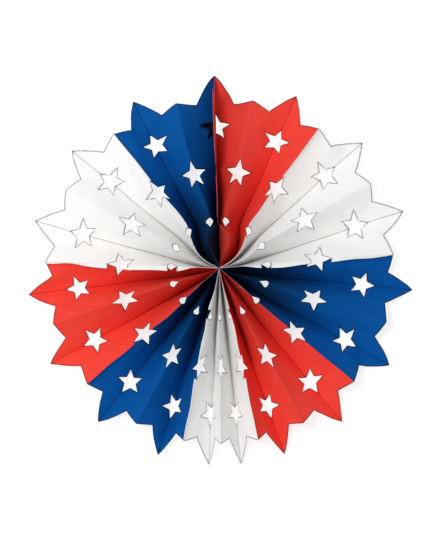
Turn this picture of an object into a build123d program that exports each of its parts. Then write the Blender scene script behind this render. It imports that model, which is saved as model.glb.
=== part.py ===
"""Round pleated paper fan: nine creased sheets in three colours, pierced with stars.

Millimetres. The fan lies on its back folds: +Z is the axis toward the viewer, +Y is up
as it hangs, and the origin is the middle of the hub in the plane of the back folds.
"""

import math
import os

from build123d import *

os.makedirs("parts", exist_ok=True)

# Paper, hub and pleats.
FAN_RADIUS = 317.5  # hub axis to the point of a back fold
PAPER = 0.3  # thickness of a sheet
HUB_RADIUS = 4.0  # open hole left where the inner edges are gathered
SEAM_ANGLE = 91.6  # where the two ends of the strip are pasted together, from +X
PANEL_SPARE_RATIO = 1.04  # width of a panel over its widest span at the rim
GLUE_STRIP = 8.0  # margin by which two sheets are pasted face to face

# The rim, as cut: long points on the back folds, short ones on the front folds.
FRONT_TIP = 285.5
NOTCH = 275.5
FLANK_BULGE = 1.0  # how far the long point's sides swell
TRIM = 4.5  # waste outside the rim before it is cut

# Stars: paper left between them and the notches or the short points, reach along the fold
# from the middle, and spread across it as a share of the panel on either side.
BACK_STAR_MARGIN = 21.5
BACK_STAR_REACH = 20.3
BACK_STAR_SPREAD = 0.44
FRONT_STAR_MARGIN = 102.5
FRONT_STAR_REACH = 22.5
FRONT_STAR_SPREAD = 0.53
STAR_WAIST_RATIO = 0.45

# Drops on the front folds inside the stars, their points toward the hub.
DROP_MARGIN = 54.0
DROP_LENGTH = 15.0
DROP_SPREAD = 0.35

# The flap folded flat behind the seam, and the loop threaded through the hub.
FLAP_WIDTH = 27.0
FLAP_LENGTH = 66.0
LOOP_RADIUS = 12.0
LOOP_SIDE = 0.8
LOOP_EASE = 0.1

STATIONS = 7  # creased facets along each panel

# The sheets, clockwise from the seam, with the angle that each of their panels is opened
# to. The fan is spread by hand, wide at the top and tight at the bottom. The top two
# sheets have one more panel each, which stands at the seam.
SHEETS = (
    ("red_sheet_top", (12.6, 12.5, 11.6)),
    ("white_sheet_right", (12.6, 12.4, 11.6, 12.9)),
    ("blue_sheet_right", (10.8, 12.0, 11.6, 10.9)),
    ("red_sheet_lower_right", (11.2, 10.3, 9.2, 6.7)),
    ("white_sheet_bottom", (6.5, 5.6, 4.0, 8.0)),
    ("blue_sheet_lower_left", (7.4, 9.3, 11.1, 10.2)),
    ("red_sheet_left", (12.2, 10.4, 11.4, 9.6)),
    ("white_sheet_left", (12.5, 12.0, 11.9, 12.9)),
    ("blue_sheet_top", (10.7, 12.3, 13.1)),
)

SPREAD = [opening for _, openings in SHEETS for opening in openings]
OPENINGS = [360 * opening / sum(SPREAD) for opening in SPREAD]
PANELS = len(OPENINGS)
FOLD_ANGLES = [SEAM_ANGLE - sum(OPENINGS[:index]) for index in range(PANELS + 1)]
FRONT_REACH = FRONT_TIP + TRIM
BACK_REACH = FAN_RADIUS + TRIM
PANEL_WIDTH = PANEL_SPARE_RATIO * math.radians(max(OPENINGS)) * FRONT_REACH
LOOP_HEIGHT = PANEL_WIDTH / 2
FLANK_RADIUS = (FAN_RADIUS + NOTCH) / 2 + FLANK_BULGE
BACK_STAR_RADIUS = NOTCH - BACK_STAR_MARGIN - BACK_STAR_REACH
FRONT_STAR_RADIUS = FRONT_TIP - FRONT_STAR_MARGIN - FRONT_STAR_REACH
BACK_STAR = (BACK_STAR_RADIUS, BACK_STAR_REACH, BACK_STAR_SPREAD)
FRONT_STAR = (FRONT_STAR_RADIUS, FRONT_STAR_REACH, FRONT_STAR_SPREAD)
DROP_OUTER = FRONT_STAR_RADIUS - FRONT_STAR_REACH - DROP_MARGIN
DROP_INNER = DROP_OUTER - DROP_LENGTH
DROP_SHOULDER = 0.35 * DROP_INNER + 0.65 * DROP_OUTER


def is_front(fold):
    """Odd folds stand toward the viewer, even ones lie at the back."""
    return fold % 2 == 1


def half_opening(fold):
    """Mean opening of the two panels at a fold, in radians."""
    return math.radians(OPENINGS[fold - 1] + OPENINGS[fold % PANELS]) / 2


def at(radius, angle, height=0.0):
    """Point at a radius and an angle in degrees round the hub."""
    turn = math.radians(angle)
    return (radius * math.cos(turn), radius * math.sin(turn), height)


def crest(fold, radius):
    """Height of a front fold: the panel keeps its width while it opens outward."""
    return math.sqrt(PANEL_WIDTH**2 - (radius * half_opening(fold)) ** 2)


def upright(fold, radius):
    """Height taken by the paper's thickness where a panel stands at its slope."""
    return min(PAPER * PANEL_WIDTH / (radius * half_opening(fold)), 0.4 * PANEL_WIDTH)


def stations(fold):
    """Radii of the facet corners on a fold, front and back ones in turn."""
    reach = FRONT_REACH if is_front(fold) else BACK_REACH
    shift = 0.0 if is_front(fold) else 0.5
    shares = [max(0.0, step - shift) / STATIONS for step in range(STATIONS + 1)]
    if not is_front(fold):
        shares.append(1.0)
    return [HUB_RADIUS + (reach - HUB_RADIUS) * share**1.4 for share in shares]


def fold_line(fold, is_edge):
    """Lower and upper corner of the paper at each station along one fold."""
    line = []
    for radius in stations(fold):
        depth = upright(fold, radius)
        top = depth
        if is_front(fold):
            top = crest(fold, radius) - (GLUE_STRIP if is_edge else 0.0)
        angle = FOLD_ANGLES[fold]
        line.append((at(radius, angle, top - depth), at(radius, angle, top)))
    return line


def facet(*corners):
    """Flat face through the given corners."""
    return Face(Wire.make_polygon(corners, close=True))


def wall(near, far):
    """Upright face between two pairs of lower and upper corners."""
    return facet(near[0], far[0], far[1], near[1])


def creased_panels(first, last):
    """Solid of the panels from one fold to another, every facet of them flat."""
    lines = [fold_line(fold, fold in (first, last)) for fold in range(first, last + 1)]
    faces = []
    for fold, (line, after) in enumerate(zip(lines, lines[1:]), first):
        faces.append(wall(line[0], after[0]))
        faces.append(wall(line[-1], after[-1]))
        # Zip up the two folds: the nearer of their next stations closes each facet.
        steps = [(radius, 0) for radius in stations(fold)[1:]]
        steps += [(radius, 1) for radius in stations(fold + 1)[1:]]
        here = [line[0], after[0]]
        left = [iter(line[1:]), iter(after[1:])]
        for _, side in sorted(steps):
            corner = next(left[side])
            for level in (0, 1):
                faces.append(facet(here[0][level], here[1][level], corner[level]))
            here[side] = corner
    for line in (lines[0], lines[-1]):
        lower, upper = zip(*line)
        faces.append(facet(*lower, *reversed(upper)))
    return Solid(Shell(faces))


def fold_plane(fold):
    """Upright plane through the axis and a fold: x runs outward, y runs up."""
    outward = at(1.0, FOLD_ANGLES[fold])
    return Plane(origin=(0, 0, 0), x_dir=outward, z_dir=at(1.0, FOLD_ANGLES[fold] - 90))


def star_corners(fold, star):
    """Plan corners of a five-pointed star folded over a crease."""
    centre, reach, spread = star
    corners = []
    for step in range(10):
        turn = math.radians(36 * step)
        arm = 1.0 if step % 2 == 0 else STAR_WAIST_RATIO
        across = arm * math.sin(turn) * spread / math.sin(math.radians(72))
        corners.append(plan_point(fold, centre + reach * arm * math.cos(turn), across))
    return corners


def plan_point(fold, radius, across):
    """Plan point at a radius, beside a fold by a share of that side's panel."""
    if across >= 0:
        opening = OPENINGS[fold % PANELS]
    else:
        opening = OPENINGS[fold - 1]
    return at(radius, FOLD_ANGLES[fold] - across * opening)[:2]


def rim_corners():
    """Plan corners of the whole rim: long point, notch, short point, notch."""
    corners = []
    for fold in range(PANELS):
        if is_front(fold):
            corners.append(plan_point(fold, FRONT_TIP, 0.0))
            corners.append(plan_point(fold, NOTCH, 0.5))
            flank, side = fold + 1, -0.25
        else:
            corners.append(plan_point(fold, FAN_RADIUS, 0.0))
            flank, side = fold, 0.25
        corners.append(plan_point(flank, FLANK_RADIUS, side))
        if not is_front(fold):
            corners.append(plan_point(fold, NOTCH, 0.5))
    return corners


def drop_corners(fold):
    """Plan corners of a drop on a front fold: point, one shoulder, round end, other."""
    return (
        plan_point(fold, DROP_INNER, 0.0),
        plan_point(fold, DROP_SHOULDER, DROP_SPREAD),
        plan_point(fold, DROP_OUTER, 0.0),
        plan_point(fold, DROP_SHOULDER, -DROP_SPREAD),
    )


def half_star(star, edge, inward):
    """Corners of half a star on the edge of a flat panel, as (radius, height)."""
    centre, reach, spread = star
    corners = []
    for step in range(6):
        turn = math.radians(36 * step)
        arm = 1.0 if step % 2 == 0 else STAR_WAIST_RATIO
        across = arm * math.sin(turn) * spread / math.sin(math.radians(72))
        height = edge + inward * across * PANEL_WIDTH
        corners.append((centre + reach * arm * math.cos(turn), height))
    return corners


def end_panel_corners():
    """Outline of the panel that stands at the seam, as (radius, height)."""
    return [
        (HUB_RADIUS, PANEL_WIDTH),
        (DROP_INNER, PANEL_WIDTH),
        (DROP_SHOULDER, (1 - DROP_SPREAD) * PANEL_WIDTH),
        (DROP_OUTER, PANEL_WIDTH),
        *reversed(half_star(FRONT_STAR, PANEL_WIDTH, -1)),
        (FRONT_TIP, PANEL_WIDTH),
        (NOTCH, PANEL_WIDTH / 2),
        (FLANK_RADIUS, PANEL_WIDTH / 4),
        (FAN_RADIUS, 0.0),
        *half_star(BACK_STAR, 0.0, 1),
        (HUB_RADIUS, 0.0),
    ]


first = 0
for name, openings in SHEETS:
    last = first + len(openings)
    with BuildPart() as sheet:
        add(creased_panels(first, last))
        # Pasted margins stand up in the plane where the next sheet begins.
        for fold, side in ((first, 1), (last, -1)):
            if not is_front(fold):
                continue
            tops = [(radius, crest(fold, radius)) for radius in stations(fold)]
            feet = [(radius, top - GLUE_STRIP - PAPER) for radius, top in tops]
            with BuildSketch(fold_plane(fold)):
                with BuildLine():
                    Polyline(*tops, *reversed(feet), close=True)
                make_face()
            extrude(amount=side * PAPER)
        # Stamped rim, stars and drops.
        with BuildSketch():
            Polygon(*rim_corners(), align=None)
        extrude(amount=2 * PANEL_WIDTH, mode=Mode.INTERSECT)
        with BuildSketch():
            for fold in range(first, last + 1):
                if not is_front(fold):
                    Polygon(*star_corners(fold, BACK_STAR), align=None)
                    continue
                Polygon(*star_corners(fold, FRONT_STAR), align=None)
                point, right, end, left = drop_corners(fold)
                with BuildLine():
                    Line(point, right)
                    ThreePointArc(right, end, left)
                    Line(left, point)
                make_face()
        extrude(amount=2 * PANEL_WIDTH, mode=Mode.SUBTRACT)
        # At the seam the last panels of the strip stand up, pasted to each other.
        for fold, side in ((first, 1), (last, -1)):
            if is_front(fold):
                continue
            with BuildSketch(fold_plane(fold)):
                with BuildLine():
                    Polyline(*end_panel_corners(), close=True)
                make_face()
            extrude(amount=side * PAPER)
            if side < 0:
                # The flap behind the seam, which darkens half of its star.
                seam = Plane(at(0.0, 0.0), x_dir=at(1.0, FOLD_ANGLES[fold]))
                with BuildSketch(seam):
                    with Locations((BACK_STAR_RADIUS, FLAP_WIDTH / 2)):
                        Rectangle(FLAP_LENGTH, FLAP_WIDTH)
                extrude(amount=PAPER)
        with BuildSketch(Plane.XY.offset(LOOP_HEIGHT - LOOP_SIDE / 2 - LOOP_EASE)):
            RegularPolygon(LOOP_RADIUS + LOOP_SIDE / 2 + LOOP_EASE, PANELS)
            RegularPolygon(LOOP_RADIUS - LOOP_SIDE / 2 - LOOP_EASE, PANELS, mode=Mode.SUBTRACT)
        extrude(amount=LOOP_SIDE + 2 * LOOP_EASE, mode=Mode.SUBTRACT)
    sheet.part.label = name
    export_step(sheet.part, f"parts/{name}.step")
    first = last

with BuildPart() as hub_loop:
    with BuildSketch(Plane.XY.offset(LOOP_HEIGHT - LOOP_SIDE / 2)):
        RegularPolygon(LOOP_RADIUS + LOOP_SIDE / 2, PANELS)
        RegularPolygon(LOOP_RADIUS - LOOP_SIDE / 2, PANELS, mode=Mode.SUBTRACT)
    extrude(amount=LOOP_SIDE)
hub_loop.part.label = "hub_loop"
export_step(hub_loop.part, "parts/hub_loop.step")
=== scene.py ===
"""Looks of a round pleated paper fan: nine creased sheets in three colours, pierced with stars.

Metres, in the frame of the solids: the fan lies on its back folds, +Z is its axis toward the
viewer and +Y is up as it hangs. Each sheet is die-cut flat, as a strip whose first coordinate
counts panels clockwise from the seam and whose second is the radius, and then creased and opened.
"""

import logging
import math
from collections.abc import Mapping, Sequence
from dataclasses import dataclass, field
from enum import Enum
from typing import Any

import bmesh
import bpy
from mathutils import Matrix, Vector, noise


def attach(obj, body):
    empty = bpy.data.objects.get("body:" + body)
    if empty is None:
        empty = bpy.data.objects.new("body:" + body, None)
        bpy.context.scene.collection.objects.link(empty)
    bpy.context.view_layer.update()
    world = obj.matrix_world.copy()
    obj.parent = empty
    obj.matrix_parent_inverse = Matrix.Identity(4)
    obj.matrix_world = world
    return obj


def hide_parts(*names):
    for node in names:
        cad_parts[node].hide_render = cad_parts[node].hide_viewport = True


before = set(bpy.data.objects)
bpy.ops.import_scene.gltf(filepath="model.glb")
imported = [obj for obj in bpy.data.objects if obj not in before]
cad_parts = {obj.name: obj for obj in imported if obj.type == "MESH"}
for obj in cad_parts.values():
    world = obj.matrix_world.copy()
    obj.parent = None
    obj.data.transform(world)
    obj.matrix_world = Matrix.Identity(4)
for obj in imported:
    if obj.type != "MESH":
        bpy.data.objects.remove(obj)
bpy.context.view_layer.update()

log = logging.getLogger("paper_fan")

Point = tuple[float, float]
Colour = tuple[float, float, float, float]

# Distances, in panels, within which a point lies on a fold or on an end of the strip
NEAR_FOLD = 1e-5
ON_LINE = 1e-4


def bow(share: float) -> float:
    """1 halfway between two folds, 0 at both."""
    return 4.0 * share * (1.0 - share)


@dataclass(frozen=True)
class Ramp:
    """Smooth step that rises from 0 at its start to 1 at the end of its run."""

    start: float
    run: float

    def up(self, value: float) -> float:
        """Height of the step at a value."""
        held = min(max((value - self.start) / self.run, 0.0), 1.0)
        return held * held * (3.0 - 2.0 * held)

    def down(self, value: float) -> float:
        """What the step leaves of 1 at a value."""
        return 1.0 - self.up(value)

    def toward(self, other: "Ramp", share: float) -> "Ramp":
        """Step a share of the way to another one."""
        start = self.start + (other.start - self.start) * share
        return Ramp(start, self.run + (other.run - self.run) * share)


@dataclass(frozen=True)
class Wave:
    """Smooth noise along the radius, the same on every run, with another course on each fold or panel."""

    length: float
    stride: float
    seed: float = 0.0
    across: float = 0.0

    def at(self, index: int, radius: float, share: float = 0.0) -> float:
        """Height of about -1 to 1, at a radius and a share of the way over a panel."""
        place = (index * self.stride + share * self.across, radius / self.length, self.seed)
        return noise.noise(Vector(place))


def score(
    shape: bmesh.types.BMesh, point: Sequence[float], normal: Sequence[float], snap: float = 1e-6
) -> None:
    """Divide a shape along a plane.

    Args:
        shape: The shape.
        point: A point of the plane.
        normal: Direction across the plane.
        snap: Distance within which a vertex counts as on the plane.
    """
    geometry = [*shape.verts, *shape.edges, *shape.faces]
    bmesh.ops.bisect_plane(shape, geom=geometry, dist=snap, plane_co=point, plane_no=normal)


def add_piece(name: str, shape: bmesh.types.BMesh) -> bpy.types.Object:
    """Put a finished shape into the scene.

    Args:
        name: Name of the object and of its mesh.
        shape: The shape, freed here.

    Returns:
        The object, at the origin.
    """
    mesh = bpy.data.meshes.new(name)
    shape.to_mesh(mesh)
    shape.free()
    piece = bpy.data.objects.new(name, mesh)
    bpy.context.scene.collection.objects.link(piece)
    return piece


def linear(red: int, green: int, blue: int) -> Colour:
    """Scene colour of a display colour.

    Args:
        red: Display red, 0 to 255.
        green: Display green, 0 to 255.
        blue: Display blue, 0 to 255.

    Returns:
        The linear colour, with a full alpha.
    """
    shares = [level / 255 for level in (red, green, blue)]
    steps = [s / 12.92 if s <= 0.04045 else ((s + 0.055) / 1.055) ** 2.4 for s in shares]
    return (*steps, 1.0)


class Tint(Enum):
    """The three papers, by the slot that each takes its finish from."""

    RED = "red_paper"
    WHITE = "white_paper"
    BLUE = "blue_paper"


@dataclass(frozen=True)
class SheetPlan:
    """One sheet of the fan and the angle that each of its panels is opened to."""

    name: str
    tint: Tint
    openings: tuple[float, ...]


@dataclass(frozen=True)
class StarHole:
    """Five-pointed star cut over a fold, spread as a share of the panel on either side."""

    centre: float
    reach: float
    spread: float
    waist: float = 0.45

    def half(self) -> list[Point]:
        """Corners from the outer point to the inner waist, on one side of the fold.

        Returns:
            Pairs of the share across the panel and the radius.
        """
        corners = []
        for step in range(6):
            turn = math.radians(36 * step)
            arm = 1.0 if step % 2 == 0 else self.waist
            across = arm * math.sin(turn) * self.spread / math.sin(math.radians(72))
            corners.append((across, self.centre + self.reach * arm * math.cos(turn)))
        return corners


@dataclass(frozen=True)
class DropHole:
    """Drop cut over a front fold, its point toward the hub."""

    inner: float
    outer: float
    spread: float
    widest: float = 0.65
    steps: int = 4

    def half(self) -> list[Point]:
        """Corners from the round end to the point, on one side of the fold.

        Returns:
            Pairs of the share across the panel and the radius.
        """
        shoulder = self.inner + (self.outer - self.inner) * self.widest
        corners = []
        for step in range(self.steps + 1):
            turn = math.pi / 2 * step / self.steps
            rise = (self.outer - shoulder) * math.cos(turn)
            corners.append((self.spread * math.sin(turn), shoulder + rise))
        return [*corners, (0.0, self.inner)]


@dataclass(frozen=True)
class FanPlan:
    """Sizes of the fan, the same as those of its solids."""

    radius: float = 0.3175
    paper: float = 0.0003
    hub: float = 0.004
    seam: float = 91.6
    spare: float = 1.04
    glue_strip: float = 0.008
    front_tip: float = 0.2855
    notch: float = 0.2755
    flank_bulge: float = 0.001
    trim: float = 0.0045
    back_star: StarHole = StarHole(0.2337, 0.0203, 0.44)
    front_star: StarHole = StarHole(0.1605, 0.0225, 0.53)
    drop: DropHole = DropHole(0.069, 0.084, 0.35)
    sheets: tuple[SheetPlan, ...] = (
        SheetPlan("red_sheet_top", Tint.RED, (12.6, 12.5, 11.6)),
        SheetPlan("white_sheet_right", Tint.WHITE, (12.6, 12.4, 11.6, 12.9)),
        SheetPlan("blue_sheet_right", Tint.BLUE, (10.8, 12.0, 11.6, 10.9)),
        SheetPlan("red_sheet_lower_right", Tint.RED, (11.2, 10.3, 9.2, 6.7)),
        SheetPlan("white_sheet_bottom", Tint.WHITE, (6.5, 5.6, 4.0, 8.0)),
        SheetPlan("blue_sheet_lower_left", Tint.BLUE, (7.4, 9.3, 11.1, 10.2)),
        SheetPlan("red_sheet_left", Tint.RED, (12.2, 10.4, 11.4, 9.6)),
        SheetPlan("white_sheet_left", Tint.WHITE, (12.5, 12.0, 11.9, 12.9)),
        SheetPlan("blue_sheet_top", Tint.BLUE, (10.7, 12.3, 13.1)),
    )

    def openings(self) -> list[float]:
        """Opening of every panel in degrees, clockwise from the seam."""
        spread = [opening for sheet in self.sheets for opening in sheet.openings]
        return [360.0 * opening / sum(spread) for opening in spread]

    def panel_width(self) -> float:
        """Width of a panel across the folds, a little over its widest span at the rim."""
        return self.spare * math.radians(max(self.openings())) * (self.front_tip + self.trim)

    def edges(self, sheet: SheetPlan) -> tuple[int, int]:
        """First and last fold of a sheet."""
        first = sum(len(other.openings) for other in self.sheets[: self.sheets.index(sheet)])
        return first, first + len(sheet.openings)


def is_front(fold: int) -> bool:
    """Odd folds stand toward the viewer, even ones lie at the back."""
    return fold % 2 == 1


@dataclass(frozen=True)
class StripPattern:
    """One sheet laid flat: its die-cut outline and holes, in panels along and radius up."""

    plan: FanPlan
    first: int
    last: int
    columns: int = 8
    rows: int = 34
    row_bias: float = 1.25
    flank_steps: int = 6
    # Width of the band along the cut edges over which shade is painted
    edge_shade_band: float = 0.0024
    straight: float = 2e-6

    def margin(self, fold: int) -> float:
        """How far the sheet goes past its end fold, in panels."""
        return self.plan.glue_strip / self.plan.panel_width() if is_front(fold) else 1.0

    def end(self, fold: int, side: int) -> list[Point]:
        """Cut end of the strip, from the hub up, notched by half a drop and half a star.

        Args:
            fold: The end fold of the sheet.
            side: 1 at the right end of the strip, -1 at the left.

        Returns:
            Points along the end.
        """
        plan = self.plan
        out = fold + side * self.margin(fold)
        base = fold if is_front(fold) else out
        points = [(out, plan.hub)]
        for hole in (plan.drop, plan.front_star):
            half = [(base - side * across, radius) for across, radius in reversed(hole.half())]
            mouth = (half[0][1], half[-1][1])
            if base != out:
                half = [(out, mouth[0]), *half, (out, mouth[1])]
            points += half
        points.append((out, plan.front_tip))
        return points

    def rim(self) -> list[Point]:
        """Zigzag rim from the right end of the strip to the left.

        Returns:
            Points along the rim, without the two corners that the ends bring.
        """
        plan = self.plan
        right = self.last if is_front(self.last) else self.last + 1
        left = self.first if is_front(self.first) else self.first - 1
        points = [(float(right), plan.front_tip)] if is_front(self.last) else []
        for fold in range(right, left, -1):
            flank = []
            for step in range(self.flank_steps + 1):
                share = step / self.flank_steps
                fall = (plan.notch - plan.radius) * share
                flank.append((share / 2, plan.radius + fall + bow(share) * plan.flank_bulge))
            if is_front(fold):
                points += [(fold - 1 + across, radius) for across, radius in reversed(flank)]
                continue
            points += [(fold - across, radius) for across, radius in flank[1:]]
            points.append((float(fold - 1), plan.front_tip))
        return points if is_front(self.first) else points[:-1]

    def holes(self) -> list[list[Point]]:
        """Stars and drops that lie inside the strip.

        Returns:
            One closed loop of points for each hole.
        """
        loops = []
        for fold in range(self.first, self.last + 1):
            if fold in (self.first, self.last) and is_front(fold):
                continue
            cuts = (self.plan.front_star, self.plan.drop) if is_front(fold) else (self.plan.back_star,)
            for hole in cuts:
                half = hole.half()
                loop = [(fold + across, radius) for across, radius in half]
                loop += [(fold - across, radius) for across, radius in reversed(half[1:-1])]
                loops.append(loop)
        return loops

    def cut(self) -> bmesh.types.BMesh:
        """Die-cut the strip and score it along and across.

        Returns:
            A flat mesh, a panel's width to each panel along x and the radius up y.
        """
        width = self.plan.panel_width()
        outline = [*self.end(self.last, 1), *self.rim(), *reversed(self.end(self.first, -1))]
        strip = bmesh.new()
        edges = []
        for loop in (outline, *self.holes()):
            corners = [strip.verts.new((across * width, radius, 0.0)) for across, radius in loop]
            edges += [strip.edges.new(pair) for pair in zip(corners, corners[1:] + corners[:1])]
        bmesh.ops.triangle_fill(strip, use_beauty=True, edges=edges, normal=(0, 0, 1))
        # Narrow band along every cut edge, over which the painted edge shade fades
        band = bmesh.ops.inset_region(
            strip, faces=strip.faces, use_boundary=True, use_even_offset=True, thickness=self.edge_shade_band
        )
        for face in band["faces"]:
            face.material_index = 1
        start = math.floor(self.first - self.margin(self.first))
        stop = math.ceil(self.last + self.margin(self.last))
        for step in range(start * self.columns, stop * self.columns + 1):
            score(strip, (step * width / self.columns, 0, 0), (1, 0, 0))
        for step in range(1, self.rows):
            share = (step / self.rows) ** self.row_bias
            radius = self.plan.hub + (self.plan.radius - self.plan.hub) * share
            score(strip, (0, radius, 0), (0, 1, 0))
        bmesh.ops.dissolve_edges(strip, edges=[edge for edge in strip.edges if self.is_slack(edge)])
        return strip

    def is_slack(self, edge: bmesh.types.BMEdge) -> bool:
        """True for an edge inside the bounds of the painted edge-shade band that follows no score line."""
        run = edge.verts[1].co - edge.verts[0].co
        inside = len(edge.link_faces) == 2 and not any(face.material_index for face in edge.link_faces)
        return inside and abs(run.x) > self.straight and abs(run.y) > self.straight


class Value:
    """A number that changes over a surface: a node's output with arithmetic."""

    def __init__(self, finish: "Finish", socket: bpy.types.NodeSocket) -> None:
        """Keep the socket and the finish whose nodes it belongs to."""
        self.finish = finish
        self.socket = socket

    def math(self, operation: str, *values: Any) -> "Value":
        """Math node on the given values."""
        made = self.finish.node("ShaderNodeMath", {"operation": operation}, dict(enumerate(values)))
        return Value(self.finish, made.outputs[0])

    def __add__(self, other: Any) -> "Value":
        """Sum."""
        return self.math("ADD", self, other)

    def __radd__(self, other: Any) -> "Value":
        """Sum, from the right."""
        return self.math("ADD", other, self)

    def __sub__(self, other: Any) -> "Value":
        """Difference."""
        return self.math("SUBTRACT", self, other)

    def __rsub__(self, other: Any) -> "Value":
        """Difference, from the right."""
        return self.math("SUBTRACT", other, self)

    def __mul__(self, other: Any) -> "Value":
        """Product."""
        return self.math("MULTIPLY", self, other)

    def __rmul__(self, other: Any) -> "Value":
        """Product, from the right."""
        return self.math("MULTIPLY", other, self)

    def __truediv__(self, other: Any) -> "Value":
        """Quotient."""
        return self.math("DIVIDE", self, other)

    def __rtruediv__(self, other: Any) -> "Value":
        """Quotient, from the right."""
        return self.math("DIVIDE", other, self)

    def __abs__(self) -> "Value":
        """Size without its sign."""
        return self.math("ABSOLUTE", self)

    def fraction(self) -> "Value":
        """What is left over a whole number."""
        return self.math("FRACT", self)

    def held(self) -> "Value":
        """The value held between 0 and 1."""
        return self.math("MINIMUM", self.math("MAXIMUM", self, 0.0), 1.0)


class Finish:
    """A node material under construction."""

    def __init__(self, name: str) -> None:
        """Start an empty material with one shader.

        Args:
            name: Name of the material.
        """
        self.material = bpy.data.materials.new(name)
        self.material.use_nodes = True
        self.tree = self.material.node_tree
        self.tree.nodes.clear()
        self.shader = self.node("ShaderNodeBsdfPrincipled")
        self.node("ShaderNodeOutputMaterial", None, {"Surface": self.shader.outputs[0]})

    def node(
        self,
        kind: str,
        settings: Mapping[str, Any] | None = None,
        inputs: Mapping[str | int, Any] | None = None,
    ) -> bpy.types.Node:
        """Add a node.

        Args:
            kind: Type of the node.
            settings: Its own settings, set first.
            inputs: Values or links of its sockets, by name or number.

        Returns:
            The node.
        """
        made = self.tree.nodes.new(kind)
        for key, value in (settings or {}).items():
            setattr(made, key, value)
        for key, value in (inputs or {}).items():
            self.feed(made.inputs[key], value)
        return made

    def feed(self, socket: bpy.types.NodeSocket, value: Any) -> None:
        """Link a socket to a value of the surface, or set it to a constant."""
        if isinstance(value, Value):
            value = value.socket
        if isinstance(value, bpy.types.NodeSocket):
            self.tree.links.new(value, socket)
        else:
            socket.default_value = value

    def dress(self, **inputs: Any) -> None:
        """Set or link the shader's sockets, their names written with underscores."""
        for key, value in inputs.items():
            self.feed(self.shader.inputs[key.replace("_", " ")], value)

    def blend(self, share: Any, first: Any, second: Any) -> bpy.types.NodeSocket:
        """Colour between two colours."""
        inputs = {0: share, 6: first, 7: second}
        return self.node("ShaderNodeMix", {"data_type": "RGBA"}, inputs).outputs[2]

    def strip(self) -> tuple[Value, Value]:
        """Place on the flat strip: panels along it, and panel widths from the axis."""
        coords = self.node("ShaderNodeUVMap", {"uv_map": "strip"})
        parts = self.node("ShaderNodeSeparateXYZ", None, {0: coords.outputs[0]})
        return Value(self, parts.outputs[0]), Value(self, parts.outputs[1])

    def cloud(self, along: Any, up: Any, scale: float, detail: float = 2.0) -> Value:
        """Soft noise over the strip.

        Args:
            along: First coordinate.
            up: Second coordinate.
            scale: Patches to a unit of the coordinates.
            detail: Octaves of finer noise.

        Returns:
            A value of about 0 to 1.
        """
        place = self.node("ShaderNodeCombineXYZ", None, {0: along, 1: up})
        inputs = {"Vector": place.outputs[0], "Scale": scale, "Detail": detail}
        return Value(self, self.node("ShaderNodeTexNoise", None, inputs).outputs[0])

    def relief(self, height: Value, distance: float, strength: float) -> bpy.types.NodeSocket:
        """Bump of a height over the surface."""
        inputs = {"Strength": strength, "Distance": distance, "Height": height}
        return self.node("ShaderNodeBump", None, inputs).outputs[0]


class PaperSurface(Finish):
    """A face of the strip, with the values over it that its marks are made from."""

    def __init__(self, name: str) -> None:
        """Add the noises and the places of the folds.

        Args:
            name: Name of the material.
        """
        super().__init__(name)
        self.along, self.up = self.strip()
        self.fibres = self.cloud(self.along * 9.0, self.up * 2.0, scale=22.0, detail=3.0)
        self.flecks = self.cloud(self.along, self.up, scale=70.0)
        self.patches = self.cloud(self.along, self.up, scale=2.2, detail=3.0)
        creases = self.cloud(self.along, self.up * 0.45, scale=5.5, detail=4.0)
        self.creases = (1.0 - abs(creases - 0.5) * 16.0).held()
        self.fold_gap = abs((self.along + 0.5).fraction() - 0.5)
        self.front = (1.0 - abs((self.along * 0.5).fraction() - 0.5) * 6.0).held()

    def attribute(self, name: str) -> Value:
        """Value of one of the mesh's own attributes."""
        return Value(self, self.node("ShaderNodeAttribute", {"attribute_name": name}).outputs["Fac"])


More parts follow.
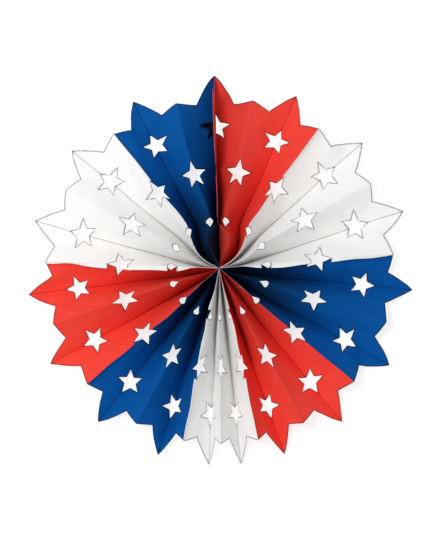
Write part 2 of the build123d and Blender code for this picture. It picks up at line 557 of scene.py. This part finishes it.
@dataclass(frozen=True)
class PaperFinish:
    """Dyed craft paper, matt and a little translucent, with fibres and rubbed folds, and with shade painted
    into its colour.
    """

    tint: Tint
    dye: Colour
    deep: Colour
    rubbed: Colour
    core: Colour
    # Colour of the painted shade: in the valleys, near the hub, beside the seam and along the cut edges
    shade: Colour
    # Strength of the shade painted toward the hub, where the pleats are deep
    painted_hub_shade: float
    glow: float = 0.0
    roughness: float = 0.78

    def face(self, panels: int) -> bpy.types.Material:
        """Finish of the sheet's two faces.

        Args:
            panels: Panels round the whole fan.

        Returns:
            The material.
        """
        paper = PaperSurface(self.tint.value)
        fibres, flecks, patches = paper.fibres, paper.flecks, paper.patches
        tone = (patches - 0.5) * 0.9 + (fibres - 0.5) * 0.5 + (flecks - 0.5) * 0.35
        base = paper.blend((0.28 + tone).held(), self.dye, self.deep)
        worn = paper.blend(self.wear(paper), base, self.rubbed)
        height = fibres * 0.35 + flecks * 0.25 + patches * 0.3 + paper.creases * 0.35
        paper.dress(
            Base_Color=paper.blend(self.shadow(paper, panels), worn, self.shade),
            Roughness=(self.roughness + (patches - 0.5) * 0.16 + (flecks - 0.5) * 0.1).held(),
            Normal=paper.relief(height, 0.0005, 0.45),
            Specular_IOR_Level=0.06,
            Subsurface_Weight=self.glow,
            Subsurface_Radius=(1.0, 1.0, 1.0),
            Subsurface_Scale=0.0006,
        )
        return paper.material

    @staticmethod
    def wear(paper: PaperSurface) -> Value:
        """Share of rubbed paper, along the folds and most on the front ones."""
        ridge = (1.0 - paper.fold_gap * 42.0).held() * (0.35 + 0.65 * paper.front)
        return (ridge * (paper.patches * 2.4 - 0.5).held() * 0.3 + paper.creases * 0.05).held()

    def shadow(self, paper: PaperSurface, panels: int) -> Value:
        """Share of shade: in the valleys, near the hub, beside the seam and along the cut edges.

        Args:
            paper: The face.
            panels: Panels round the whole fan.

        Returns:
            A value of 0 to 1.
        """
        up, seam_gap, far_gap = paper.up, abs(paper.along), abs(paper.along - float(panels))
        outer = (up * 1.6 - 2.7).held()
        open_seam = outer * (1.3 - seam_gap * 1.3).held()
        valley = (1.0 - paper.fold_gap * (10.0 + 11.0 * up)).held() * (1.0 - paper.front)
        valley = valley * (0.55 + 0.45 * paper.patches) * (1.0 - open_seam)
        # Painted shade toward the hub, where the deep pleats lie in shadow
        inner = (1.23 - up * 0.455).held() * self.painted_hub_shade
        # Painted shade beside the standing seam, which keeps light off its neighbours: on both sides near
        # the hub, on the blue side all the way out, and fainter and even on the red side further out
        pasted = (1.15 - seam_gap).held() * (1.0 - outer) + (1.15 - far_gap).held()
        lee = outer * (3.0 - seam_gap * 2.6).held()
        # Painted shade in a soft band along the cut edges, like the shadow at an edge
        cut = paper.attribute("cut")
        edges = cut.math("POWER", cut, 0.45) * (0.75 + 0.25 * paper.fibres)
        return (valley + inner + pasted * 0.4 + lee * 0.24 + edges).held()

    def edge(self) -> bpy.types.Material:
        """Finish of the cut edge, where the paper's paler core shows.

        Returns:
            The material.
        """
        finish = Finish(self.tint.value + "_edge")
        along, up = finish.strip()
        fibres = finish.cloud(along, up, scale=55.0, detail=3.0)
        tone = finish.blend((fibres * 1.3 - 0.15).held(), self.core, self.dye)
        finish.dress(
            Base_Color=tone,
            Roughness=(self.roughness + fibres * 0.15).held(),
            Normal=finish.relief(fibres, 0.0002, 0.5),
            Specular_IOR_Level=0.2,
        )
        return finish.material


PAPERS = {
    Tint.RED: PaperFinish(
        Tint.RED,
        dye=linear(241, 72, 60),
        deep=linear(228, 58, 50),
        rubbed=linear(245, 104, 90),
        core=linear(238, 92, 80),
        shade=linear(136, 34, 28),
        painted_hub_shade=0.3,
    ),
    Tint.WHITE: PaperFinish(
        Tint.WHITE,
        dye=linear(243, 242, 240),
        deep=linear(235, 235, 234),
        rubbed=linear(252, 252, 252),
        core=linear(250, 250, 248),
        shade=linear(122, 121, 119),
        painted_hub_shade=0.06,
        glow=0.5,
    ),
    Tint.BLUE: PaperFinish(
        Tint.BLUE,
        dye=linear(4, 86, 162),
        deep=linear(2, 72, 142),
        rubbed=linear(14, 92, 166),
        core=linear(20, 84, 146),
        shade=linear(12, 26, 42),
        painted_hub_shade=0.9,
    ),
}
# Near-black finish of the flap behind the seam: painted shade, standing for the deep shadow behind the half
# star there
FLAP_SHADE = PaperFinish(
    Tint.BLUE,
    dye=linear(14, 22, 36),
    deep=linear(8, 14, 26),
    rubbed=linear(40, 52, 72),
    core=linear(30, 42, 62),
    shade=linear(4, 8, 16),
    painted_hub_shade=0.0,
)


@dataclass(frozen=True)
class Handling:
    """How the fan was spread by hand: bends at the hub, leaning strips, waves in the paper."""

    # Folds pushed away from the seam near the hub: degrees, and steps over degrees and radius
    hub_turn: float = 15.0
    hub_turn_more: float = 10.0
    seam_side: Ramp = Ramp(0.0, 12.0)
    wide_from: Ramp = Ramp(12.0, 25.0)
    gather_end: Ramp = Ramp(40.0, 48.0)
    seam_bend: Ramp = Ramp(0.034, 0.045)
    wide_bend: Ramp = Ramp(0.010, 0.085)
    back_hold: float = 0.75
    back_from: Ramp = Ramp(25.0, 15.0)

    # Folds pulled back toward the seam further out
    seam_pull: float = 4.5
    pull_end: Ramp = Ramp(13.0, 16.0)
    pull_inner: Ramp = Ramp(0.050, 0.020)
    pull_outer: Ramp = Ramp(0.085, 0.075)

    # Ends pasted too high at the seam, inner edges drawn together, back folds pushed off centre
    seam_slip: float = 0.009
    slip_side: Ramp = Ramp(0.0, 9.0)
    slip_outer: Ramp = Ramp(0.12, 0.18)
    hub_draw: float = 0.0026
    draw_fade: float = 0.010
    hub_skew: tuple[float, float] = (0.0022, -0.0014)
    skew_fade: float = 0.015

    # Waves, wrinkles, dents and swelling of the paper
    fold_sway: float = 0.0015
    sway_from: Ramp = Ramp(0.0, 0.12)
    sway_wave: Wave = Wave(0.075, 5.31)
    panel_sway: float = 0.08
    panel_wave: Wave = Wave(0.10, 3.17, 4.0, 0.8)
    wrinkle: float = 0.022
    wrinkle_wave: Wave = Wave(0.021, 7.7, 9.0, 3.0)
    dent_most: float = 0.0050
    dent_from: Ramp = Ramp(0.0, 0.08)
    dent_wave: Wave = Wave(0.050, 9.1, 13.0, 1.5)
    dimple: float = 0.5
    dimple_wave: Wave = Wave(0.024, 6.3, 17.0, 3.4)
    swell_most: float = 0.34
    swell_change: float = 0.12
    swell_end: Ramp = Ramp(0.10, 0.13)
    swell_wave: Wave = Wave(0.06, 4.3)

    # Lean of the pasted strips, by front fold, and of the standing seam, which splays near the hub
    leans: Mapping[int, float] = field(
        default_factory=lambda: dict(zip(range(3, 32, 4), (-0.35, 1.35, 0.3, -0.6, 0.8, -0.6, -1.75, 0.4)))
    )
    lean_most: float = 1.45
    lean_mean: float = 0.75
    lean_change: float = 0.6
    lean_wave: Wave = Wave(0.045, 2.3, 2.0)
    lean_from: Ramp = Ramp(0.03, 0.06)
    lean_lost: float = 0.6
    lean_end: Ramp = Ramp(0.17, 0.08)
    flutter: float = 0.02
    flutter_wave: Wave = Wave(0.02, 1.7, 6.0)
    seam_leans: tuple[tuple[float, Ramp], ...] = ((0.0010, Ramp(0.070, 0.02)), (0.0014, Ramp(0.178, 0.02)))
    splay: float = 0.0182
    splay_bend: float = 2.5
    splay_from: Ramp = Ramp(0.0, 0.045)
    splay_end: Ramp = Ramp(0.050, 0.032)

    def gather(self, turn: float, radius: float, front: bool) -> float:
        """Push the folds near the seam away from it, close to the hub, and toward it further out.

        Args:
            turn: Clockwise angle from the seam, in degrees.
            radius: Distance from the axis.
            front: True for a front fold; a back one gives way less, away from the seam.

        Returns:
            The angle that the fold takes there.
        """
        near = min(turn, 360.0 - turn)
        wider = self.wide_from.up(near)
        bend = self.seam_bend.toward(self.wide_bend, wider)
        push = self.hub_turn * self.seam_side.up(near) + self.hub_turn_more * wider
        shift = push * self.gather_end.down(near) * bend.down(radius)
        if not front:
            shift *= 1.0 - self.back_hold * self.back_from.up(near)
        pull = self.seam_pull * self.seam_side.up(near) * self.pull_end.down(near)
        shift -= pull * self.pull_inner.up(radius) * self.pull_outer.down(radius)
        return turn + math.copysign(1.0, 180.0 - turn) * shift

    def draw_in(self, radius: float, hub: float, turn: float) -> float:
        """Radius once the inner edges are drawn together at the hub.

        Args:
            radius: Radius on the flat strip.
            hub: Radius of the inner edges.
            turn: Clockwise angle from the seam, in degrees.

        Returns:
            The radius, a little further out at the seam, whose ends were pasted higher.
        """
        slip = self.seam_slip * self.slip_side.down(min(turn, 360.0 - turn)) * self.slip_outer.up(radius)
        return radius + slip - self.hub_draw * math.exp((hub - radius) / self.draw_fade)

    def fold_drift(self, fold: int, radius: float) -> float:
        """Small sideways drift of a fold, as an angle in degrees."""
        sway = self.fold_sway * self.sway_wave.at(fold, radius) * self.sway_from.up(radius)
        return math.degrees(sway / radius)

    def panel_drift(self, panel: int, share: float, radius: float) -> float:
        """How far a panel bows along the way to its next fold, as a share of its opening."""
        broad = self.panel_sway * self.panel_wave.at(panel, radius, share)
        return bow(share) * (broad + self.wrinkle * self.wrinkle_wave.at(panel, radius, share))

    def dent(self, panel: int, share: float, radius: float) -> float:
        """Shallow dent of a panel away from its folds, from handling."""
        broad = self.dent_wave.at(panel, radius, share)
        depth = broad + self.dimple * self.dimple_wave.at(panel, radius, share)
        return self.dent_most * bow(share) * depth * self.dent_from.up(radius)

    def swell(self, panel: int, radius: float) -> float:
        """How far a panel swells toward the front, steep at the valley and easy at the ridge."""
        most = self.swell_most + self.swell_change * self.swell_wave.at(panel, radius)
        return most * self.swell_end.down(radius)

    def strip_lean(self, fold: int, radius: float) -> float:
        """Lean of a pasted strip, in radians clockwise."""
        waves = self.lean_mean + self.lean_change * self.lean_wave.at(fold, radius)
        ends = self.lean_from.up(radius) * (1.0 - self.lean_lost * self.lean_end.up(radius))
        lean = self.leans[fold] * waves * ends + self.flutter * self.flutter_wave.at(fold, radius)
        return min(max(lean, -self.lean_most), self.lean_most)

    def seam_lean(self, radius: float) -> float:
        """How far the top of the standing seam leans counter-clockwise."""
        return sum(lean * step.up(radius) for lean, step in self.seam_leans)

    def seam_splay(self, past: float, radius: float) -> float:
        """How far each end panel bends off the seam near the hub, at a share of its height."""
        return self.splay * past**self.splay_bend * self.splay_from.up(radius) * self.splay_end.down(radius)


@dataclass
class PleatedSheet:
    """One sheet of the fan, creased, opened and pasted to its neighbours."""

    plan: FanPlan
    sheet: SheetPlan
    handling: Handling
    curl: float = 0.0004
    layer_gap: float = 0.8
    layer_over: float = 0.9
    seam_gap: float = 0.55
    flap_width: float = 0.027
    flap_length: float = 0.066
    first: int = field(init=False)
    last: int = field(init=False)

    def __post_init__(self) -> None:
        """Find the sheet's folds and measure the panels once."""
        self.first, self.last = self.plan.edges(self.sheet)
        self.openings = self.plan.openings()
        self.width = self.plan.panel_width()
        self.turns = [sum(self.openings[:fold]) for fold in range(len(self.openings) + 1)]

    def crest(self, fold: int, radius: float) -> float:
        """Height of a front fold where the panel begins, below a pasted strip if there is one.

        Args:
            fold: The front fold.
            radius: Distance from the axis.

        Returns:
            The height above the back folds.
        """
        half = math.radians(self.openings[fold - 1] + self.openings[fold % len(self.openings)]) / 2
        held = min(radius, self.plan.front_tip + self.plan.trim)
        height = math.sqrt(self.width**2 - (held * half) ** 2)
        return height - (self.plan.glue_strip if fold in (self.first, self.last) else 0.0)

    def fold_turn(self, fold: int, radius: float) -> float:
        """Clockwise angle of a fold from the seam, as it was bent and gathered."""
        drift = self.handling.fold_drift(fold % len(self.openings), radius)
        return self.handling.gather(self.turns[fold], radius, is_front(fold)) + drift

    def at(self, turn: float, radius: float, height: float, aside: float = 0.0) -> Vector:
        """Point of the fan.

        Args:
            turn: Clockwise angle from the seam, in degrees.
            radius: Distance from the axis.
            height: Height of the paper's underside above the back folds.
            aside: Clockwise offset across that direction.

        Returns:
            The point.
        """
        angle = math.radians(self.plan.seam - turn)
        out = Vector((math.cos(angle), math.sin(angle), 0.0))
        clockwise = Vector((out.y, -out.x, 0.0))
        hub, skew = self.plan.hub, self.handling.hub_skew
        low = (1.0 - height / self.width) * math.exp((hub - radius) / self.handling.skew_fade)
        foot = Vector((skew[0] * low, skew[1] * low, height + self.plan.paper / 2))
        return self.handling.draw_in(radius, hub, turn % 360.0) * out + aside * clockwise + foot

    @staticmethod
    def is_past(beyond: float, fold: int) -> bool:
        """True past an end fold, or on it where a strip is pasted."""
        return beyond > (-NEAR_FOLD if is_front(fold) else NEAR_FOLD)

    def crease(self, across: float, radius: float) -> Vector:
        """Where a point of the flat strip goes once it is creased and opened.

        Args:
            across: Panels along the strip.
            radius: Distance from the axis.

        Returns:
            The point.
        """
        before, after = self.first - across, across - self.last
        if self.is_past(before, self.first):
            return self.stand(self.first, 1, max(before, 0.0), radius)
        if self.is_past(after, self.last):
            return self.stand(self.last, -1, max(after, 0.0), radius)
        panel = min(max(math.floor(across + NEAR_FOLD), self.first), self.last - 1)
        share = min(max(across - panel, 0.0), 1.0)
        front, rise = (panel, 1.0 - share) if is_front(panel) else (panel + 1, share)
        near, far = self.fold_turn(panel, radius), self.fold_turn(panel + 1, radius)
        turn = near + (far - near) * (share + self.handling.panel_drift(panel, share, radius))
        rise += self.handling.swell(panel, radius) * rise * (1.0 - rise)
        dent = self.handling.dent(panel, share, radius)
        return self.at(turn, radius, rise * self.crest(front, radius) + dent)

    def stand(self, fold: int, side: int, past: float, radius: float) -> Vector:
        """Where a point past the end fold goes: up a pasted strip, or up the seam.

        Args:
            fold: The end fold.
            side: 1 if the sheet lies clockwise of that fold, -1 if not.
            past: Panels past the fold.
            radius: Distance from the axis.

        Returns:
            The point.
        """
        turn = self.fold_turn(fold, radius)
        reach = past * self.width
        if is_front(fold):
            lean = self.handling.strip_lean(fold, radius)
            layers = self.layer_gap + self.layer_over * max(side * lean, 0.0)
            aside = side * self.plan.paper * layers
            height = self.crest(fold, radius) + reach * math.cos(lean) - aside * math.sin(lean)
            return self.at(turn, radius, height, aside * math.cos(lean) + reach * math.sin(lean))
        aside = side * (self.seam_gap * self.plan.paper + self.handling.seam_splay(past, radius))
        return self.at(turn, radius, reach, aside - past * self.handling.seam_lean(radius))

    def build(self) -> bpy.types.Object:
        """Cut, crease and dress the sheet.

        Returns:
            The finished piece, riding in place of its solid.
        """
        pattern = StripPattern(self.plan, self.first, self.last)
        paper = pattern.cut()
        trimmed = (self.first - pattern.margin(self.first), self.last + pattern.margin(self.last))
        layer = paper.loops.layers.uv.new("strip")
        for face in paper.faces:
            face.smooth = True
            face.material_index = 0
            for loop in face.loops:
                loop[layer].uv = (loop.vert.co.x / self.width, loop.vert.co.y / self.width)
        for edge in paper.edges:
            ends = [vert.co.x / self.width for vert in edge.verts]
            on_fold = all(abs(end - round(end)) < ON_LINE for end in ends)
            edge.smooth = not (on_fold and abs(ends[0] - ends[1]) < ON_LINE)
        # Cut edges: they curl back a little, and shade is painted along them
        cut = paper.verts.layers.float.new("cut")
        for vert in paper.verts:
            across = vert.co.x / self.width
            vert[cut] = float(vert.is_boundary and min(abs(across - end) for end in trimmed) > ON_LINE)
            vert.co = self.crease(across, vert.co.y)
        paper.normal_update()
        for vert in paper.verts:
            vert.co -= self.curl * vert[cut] * vert.normal
        if self.has_flap():
            self.add_flap(paper, layer)
        piece = add_piece(self.sheet.name + "_paper", paper)
        self.dress(piece)
        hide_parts(self.sheet.name)
        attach(piece, "root")
        return piece

    def has_flap(self) -> bool:
        """True for the last sheet of the strip."""
        return self.last == len(self.openings)

    def add_flap(self, paper: bmesh.types.BMesh, layer: Any) -> None:
        """Add the flap pasted flat behind the seam.

        Args:
            paper: Mesh of the sheet.
            layer: Its coordinates on the flat strip.
        """
        turn = Matrix.Rotation(math.radians(self.plan.seam), 4, "Z")
        middle = (self.plan.back_star.centre, self.flap_width / 2, self.plan.paper / 2)
        size = Matrix.Diagonal((self.flap_length, self.flap_width, 1.0, 1.0))
        place = turn @ Matrix.Translation(middle) @ size
        made = bmesh.ops.create_grid(paper, x_segments=12, y_segments=5, size=0.5, matrix=place)
        for face in {face for vert in made["verts"] for face in vert.link_faces}:
            face.smooth = True
            face.material_index = 2
            for loop in face.loops:
                loop[layer].uv = (loop.vert.co.x / self.width + 0.5, loop.vert.co.y / self.width)

    def dress(self, piece: bpy.types.Object) -> None:
        """Give the sheet its thickness and its paper, with the core showing at the cut edge."""
        finish = PAPERS[self.sheet.tint]
        panels = len(self.openings)
        piece.data.materials.append(finish.face(panels))
        piece.data.materials.append(finish.edge())
        if self.has_flap():
            # Third slot: the flap's paper painted near-black as shade
            piece.data.materials.append(FLAP_SHADE.face(panels))
        wall = piece.modifiers.new("paper", "SOLIDIFY")
        wall.thickness = self.plan.paper
        wall.offset = 0.0
        wall.use_rim = True
        wall.material_offset_rim = 1


@dataclass
class HubThread:
    """Twisted two-ply thread that gathers the inner edges round the hub."""

    plan: FanPlan
    loop_radius: float = 0.012
    ply: float = 0.00021
    turns: int = 60
    steps: int = 480
    sides: int = 8

    def build(self) -> bpy.types.Object:
        """Lay two plies round each other and close them into a loop.

        Returns:
            The finished piece, riding in place of its solid.
        """
        thread = bmesh.new()
        around = 2.0 * math.pi * self.loop_radius
        for start in (0.0, math.pi):
            foot = (self.ply * math.cos(start), self.ply * math.sin(start), around / 2)
            bmesh.ops.create_cone(
                thread,
                segments=self.sides,
                radius1=self.ply,
                radius2=self.ply,
                depth=around,
                matrix=Matrix.Translation(foot),
            )
        for step in range(1, self.steps):
            score(thread, (0, 0, around * step / self.steps), (0, 0, 1), snap=1e-9)
        for vert in thread.verts:
            turn = 2.0 * math.pi * vert.co.z / around
            twist = Matrix.Rotation(self.turns * turn, 3, "Z") @ Vector((vert.co.x, vert.co.y, 0))
            out = Matrix.Rotation(turn, 3, "Z") @ Vector((self.loop_radius + twist.x, 0, 0))
            vert.co = out + Vector((0, 0, self.plan.panel_width() / 2 + twist.y))
        bmesh.ops.remove_doubles(thread, verts=thread.verts, dist=1e-6)
        bmesh.ops.recalc_face_normals(thread, faces=thread.faces)
        for face in thread.faces:
            face.smooth = True
        piece = add_piece("hub_thread", thread)
        piece.data.materials.append(self.finish())
        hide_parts("hub_loop")
        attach(piece, "root")
        return piece

    def finish(self) -> bpy.types.Material:
        """Matt undyed cotton.

        Returns:
            The material.
        """
        finish = Finish("hub_thread")
        coords = finish.node("ShaderNodeTexCoord")
        inputs = {"Vector": coords.outputs["Object"], "Scale": 2600.0, "Detail": 2.0}
        fuzz = Value(finish, finish.node("ShaderNodeTexNoise", None, inputs).outputs[0])
        finish.dress(
            Base_Color=finish.blend(fuzz, linear(226, 222, 212), linear(196, 190, 178)),
            Roughness=(0.75 + fuzz * 0.2).held(),
            Normal=finish.relief(fuzz, 0.0001, 0.5),
            Sheen_Weight=0.2,
        )
        return finish.material


@dataclass(frozen=True)
class Studio:
    """Pale floor, soft light from the front, and a camera near the fan's axis."""

    camera_aim: tuple[float, float, float] = (-0.0043, 0.0055, 0.0)
    camera_below: float = 5.0
    camera_right: float = 1.5
    camera_distance: float = 5.153
    lens: float = 210.0
    floor_size: float = 3.0
    floor_drop: float = 0.0008
    floor_grey: float = 0.25
    floor_glow: float = 0.77
    key_place: tuple[float, float, float] = (-0.60, 0.10, 2.1)
    key_size: float = 0.8
    key_power: float = 25.0
    sky: float = 0.58

    def build(self) -> None:
        """Make the floor, the lights and the camera."""
        self.add_floor()
        self.add_light()
        self.add_camera()

    def add_floor(self) -> None:
        """Pale floor that glows a little, so that the holes stay bright."""
        ground = bmesh.new()
        place = Matrix.Translation((0, 0, -self.floor_drop))
        bmesh.ops.create_grid(ground, x_segments=1, y_segments=1, size=self.floor_size, matrix=place)
        floor = add_piece("floor", ground)
        finish = Finish("floor")
        finish.dress(
            Base_Color=(self.floor_grey, self.floor_grey, self.floor_grey, 1.0),
            Roughness=0.9,
            Emission_Color=(1.0, 1.0, 1.0, 1.0),
            Emission_Strength=self.floor_glow,
        )
        floor.data.materials.append(finish.material)

    def add_light(self) -> None:
        """Soft even sky and a broad key light in front of the fan, to its left."""
        world = bpy.data.worlds.new("studio")
        world.use_nodes = True
        background = world.node_tree.nodes["Background"]
        background.inputs["Color"].default_value = (1.0, 1.0, 1.0, 1.0)
        background.inputs["Strength"].default_value = self.sky
        bpy.context.scene.world = world
        lamp = bpy.data.lights.new("key", "AREA")
        lamp.shape = "DISK"
        lamp.size = self.key_size
        lamp.energy = self.key_power
        key = bpy.data.objects.new("key", lamp)
        key.location = self.key_place
        key.rotation_euler = (-key.location).to_track_quat("-Z", "Y").to_euler()
        bpy.context.scene.collection.objects.link(key)

    def add_camera(self) -> None:
        """Camera in front of the fan, a little below its axis, with plain display colours."""
        lens = bpy.data.cameras.new("camera")
        lens.lens = self.lens
        lens.sensor_width = 36.0
        camera = bpy.data.objects.new("camera", lens)
        right, below = math.radians(self.camera_right), math.radians(self.camera_below)
        toward = Vector((math.tan(right), -math.tan(below), 1.0)).normalized()
        camera.location = Vector(self.camera_aim) + self.camera_distance * toward
        camera.rotation_euler = (below, right, 0.0)
        bpy.context.scene.collection.objects.link(camera)
        bpy.context.scene.camera = camera
        bpy.context.scene.view_settings.view_transform = "Standard"


def main() -> None:
    """Build the fan and the studio, and log the faces of each piece."""
    logging.basicConfig(level=logging.INFO, format="%(name)s: %(message)s")
    plan = FanPlan()
    handling = Handling()
    Studio().build()
    for sheet in plan.sheets:
        piece = PleatedSheet(plan, sheet, handling).build()
        log.info("%s: %d faces", piece.name, len(piece.data.polygons))
    piece = HubThread(plan).build()
    log.info("%s: %d faces", piece.name, len(piece.data.polygons))


if __name__ == "__main__":
    main()
